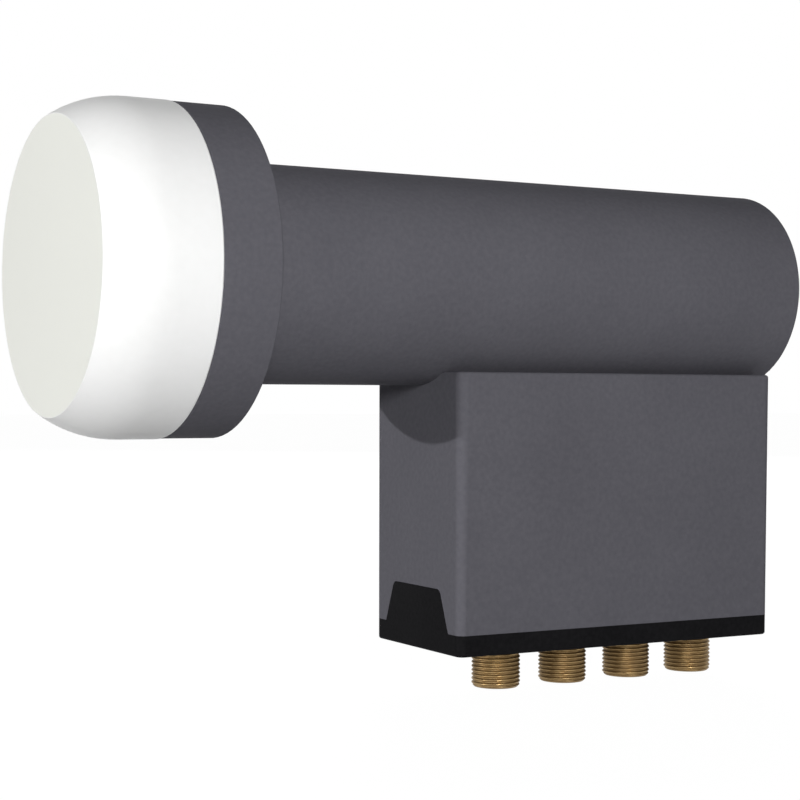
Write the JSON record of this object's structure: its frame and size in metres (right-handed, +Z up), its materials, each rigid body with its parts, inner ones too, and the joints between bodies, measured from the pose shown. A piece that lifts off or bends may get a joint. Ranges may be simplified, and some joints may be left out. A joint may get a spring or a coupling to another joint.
{
  "type": "satellite lnb",
  "caption": "Satellite dish receiver head: domed feed cap on a round clamp neck over a flat upright case, with a row of threaded coaxial outputs below.",
  "frame": {"origin": "on the neck's axis, halfway along the free round length between collar and case", "axes": "+X along the neck away from the feed cap, +Y across the case, +Z up with the connectors pointing down"},
  "size_m": [0.1512, 0.0596, 0.1085],
  "materials": {
    "cap_white": "smooth white weatherproof plastic",
    "housing_grey": "satin grey moulded plastic",
    "base_black": "satin black moulded plastic",
    "connector_brass": "turned and threaded brass",
    "insulator_white": "white dielectric plastic",
    "probe_brass": "drawn brass wire",
    "bush_white": "white low-loss plastic",
    "seal_rubber": "black rubber",
    "cast_metal": "plain die casting",
    "board_laminate": "green laminate board",
    "chip_black": "moulded chip package",
    "resonator_ceramic": "fired tan ceramic",
    "screw_steel": "plated steel"
  },
  "bodies": {
    "root": {"feed_cap": "cap_white", "cap_o_ring": "seal_rubber", "housing": "housing_grey", "base_plate": "base_black", "feed_horn": "cast_metal", "chassis": "cast_metal", "chassis_lid": "cast_metal", "main_board": "board_laminate", "vertical_probe": "probe_brass", "horizontal_probe": "probe_brass", "vertical_probe_bush": "bush_white", "horizontal_probe_bush": "bush_white", "isolation_pin": "probe_brass", "low_band_resonator": "resonator_ceramic", "high_band_resonator": "resonator_ceramic", "tuning_screws": "connector_brass", "switch_chip": "chip_black", "lid_screws": "screw_steel", "feed_screws": "screw_steel", "regulator_1": "chip_black", "f_connector_1": "connector_brass", "connector_insulator_1": "insulator_white", "connector_contact_1": "probe_brass", "connector_seal_1": "seal_rubber", "regulator_2": "chip_black", "f_connector_2": "connector_brass", "connector_insulator_2": "insulator_white", "connector_contact_2": "probe_brass", "connector_seal_2": "seal_rubber", "regulator_3": "chip_black", "f_connector_3": "connector_brass", "connector_insulator_3": "insulator_white", "connector_contact_3": "probe_brass", "connector_seal_3": "seal_rubber", "regulator_4": "chip_black", "f_connector_4": "connector_brass", "connector_insulator_4": "insulator_white", "connector_contact_4": "probe_brass", "connector_seal_4": "seal_rubber"}
  },
  "joints": []
}
